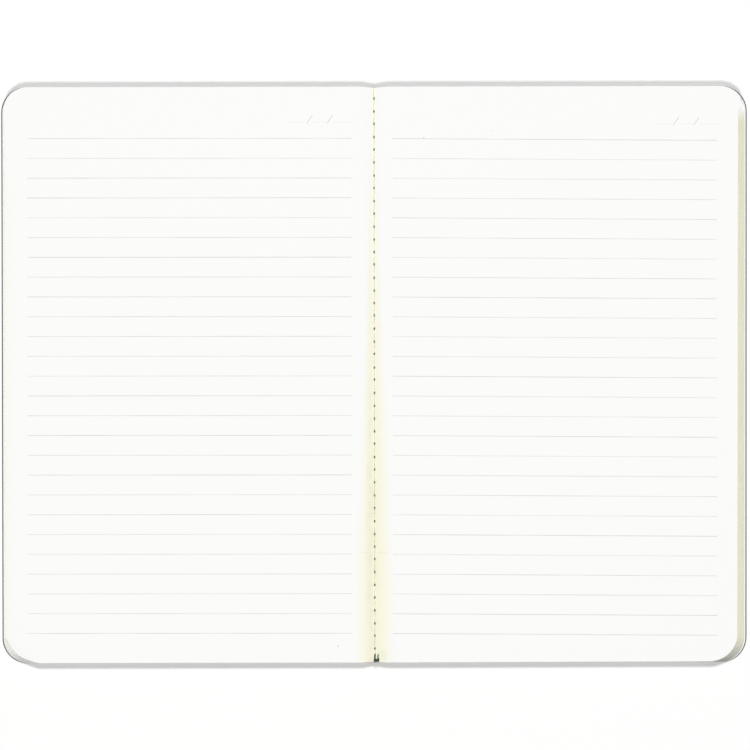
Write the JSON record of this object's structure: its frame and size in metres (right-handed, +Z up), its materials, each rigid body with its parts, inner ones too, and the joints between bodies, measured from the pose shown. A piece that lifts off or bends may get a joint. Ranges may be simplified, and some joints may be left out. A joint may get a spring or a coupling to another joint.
{
  "type": "open sewn notebook",
  "caption": "Soft-cover ruled notebook lying open, rounded corners, leaves and card cover lock-stitched through the fold; it closes and each cover swings off its leaves.",
  "frame": {"origin": "on the table, under the middle of the fold", "axes": "+X across the spread towards the right page's fore edge, +Y to the head of the pages, +Z up off the table"},
  "size_m": [0.2674, 0.2064, 0.0028],
  "materials": {
    "cover_card": "uncoated dark card, fine fibre grain, slightly paler at the cut edge",
    "page_paper": "smooth white writing paper with pale grey ruling, cream where it is aged at the fold and the fore edge",
    "pale_thread": "cream twisted sewing thread",
    "dark_thread": "dark green-black twisted sewing thread"
  },
  "bodies": {
    "right_pages": {"right_pages": "page_paper", "inner_thread": "pale_thread", "outer_thread": "dark_thread"},
    "left_pages": {"left_pages": "page_paper"},
    "back_cover": {"back_cover": "cover_card"},
    "front_cover": {"front_cover": "cover_card"}
  },
  "joints": [
    {"name": "book_fold", "type": "hinge", "parent": "right_pages", "child": "left_pages", "pos_m": [0, 0, 0.00295], "axis": [0, 1, 0], "range_deg": [0, 180]},
    {"name": "back_cover_hinge", "type": "hinge", "parent": "right_pages", "child": "back_cover", "pos_m": [0, 0, -0.00015], "axis": [0, 1, 0], "range_deg": [0, 180]},
    {"name": "front_cover_hinge", "type": "hinge", "parent": "left_pages", "child": "front_cover", "pos_m": [0, 0, -0.00015], "axis": [0, 1, 0], "range_deg": [-180, 0]}
  ]
}
